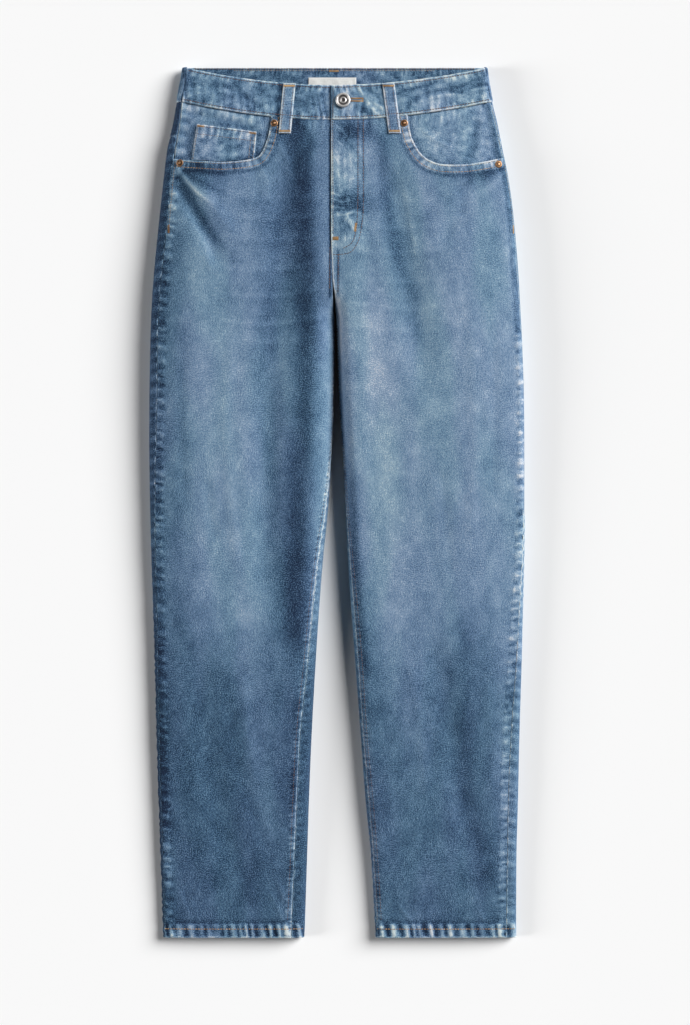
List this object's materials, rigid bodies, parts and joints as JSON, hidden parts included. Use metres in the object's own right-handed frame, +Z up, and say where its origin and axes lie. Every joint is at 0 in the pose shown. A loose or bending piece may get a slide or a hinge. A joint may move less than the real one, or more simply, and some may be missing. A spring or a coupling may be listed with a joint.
{
  "type": "pair of mom jeans laid flat",
  "caption": "High-waisted straight-leg denim jeans laid flat, front up, with curved front pockets, a coin pocket and a button fly with a zip.",
  "frame": {"origin": "on the surface the jeans lie on, under the middle of their box", "axes": "+Y from the hems to the waist, +X to the wearer's left, +Z up through the front"},
  "size_m": [0.4317, 1, 0.0405],
  "materials": {
    "denim": "washed mid-blue denim twill, pale on the thighs and seams",
    "denim_inside": "pale inner face of the denim",
    "zip_tape": "woven navy zip tape",
    "label_cotton": "white woven cotton, blank",
    "button_metal": "pale worn metal with a ringed face",
    "rivet_copper": "worn copper",
    "thread_tan": "tan topstitching thread",
    "thread_orange": "orange bar-tack thread"
  },
  "bodies": {
    "root": {"front_right": "denim", "front_left": "denim", "back_right": "denim", "back_left": "denim", "yoke_right": "denim", "yoke_left": "denim", "pocket_facing_right": "denim", "pocket_facing_left": "denim", "coin_pocket": "denim", "back_pocket_right": "denim", "back_pocket_left": "denim", "waistband_right": "denim", "waistband_left": "denim", "waistband_back": "denim", "belt_loop_front_right": "denim", "belt_loop_front_left": "denim", "belt_loop_back_right": "denim", "belt_loop_back_centre": "denim", "belt_loop_back_left": "denim", "hem_right": "denim_inside", "hem_left": "denim_inside", "fly_shield": "denim_inside", "zip": "zip_tape", "label": "label_cotton", "button": "button_metal", "rivet_right_inner": "rivet_copper", "rivet_right_outer": "rivet_copper", "rivet_left_inner": "rivet_copper", "rivet_left_outer": "rivet_copper"}
  },
  "joints": []
}
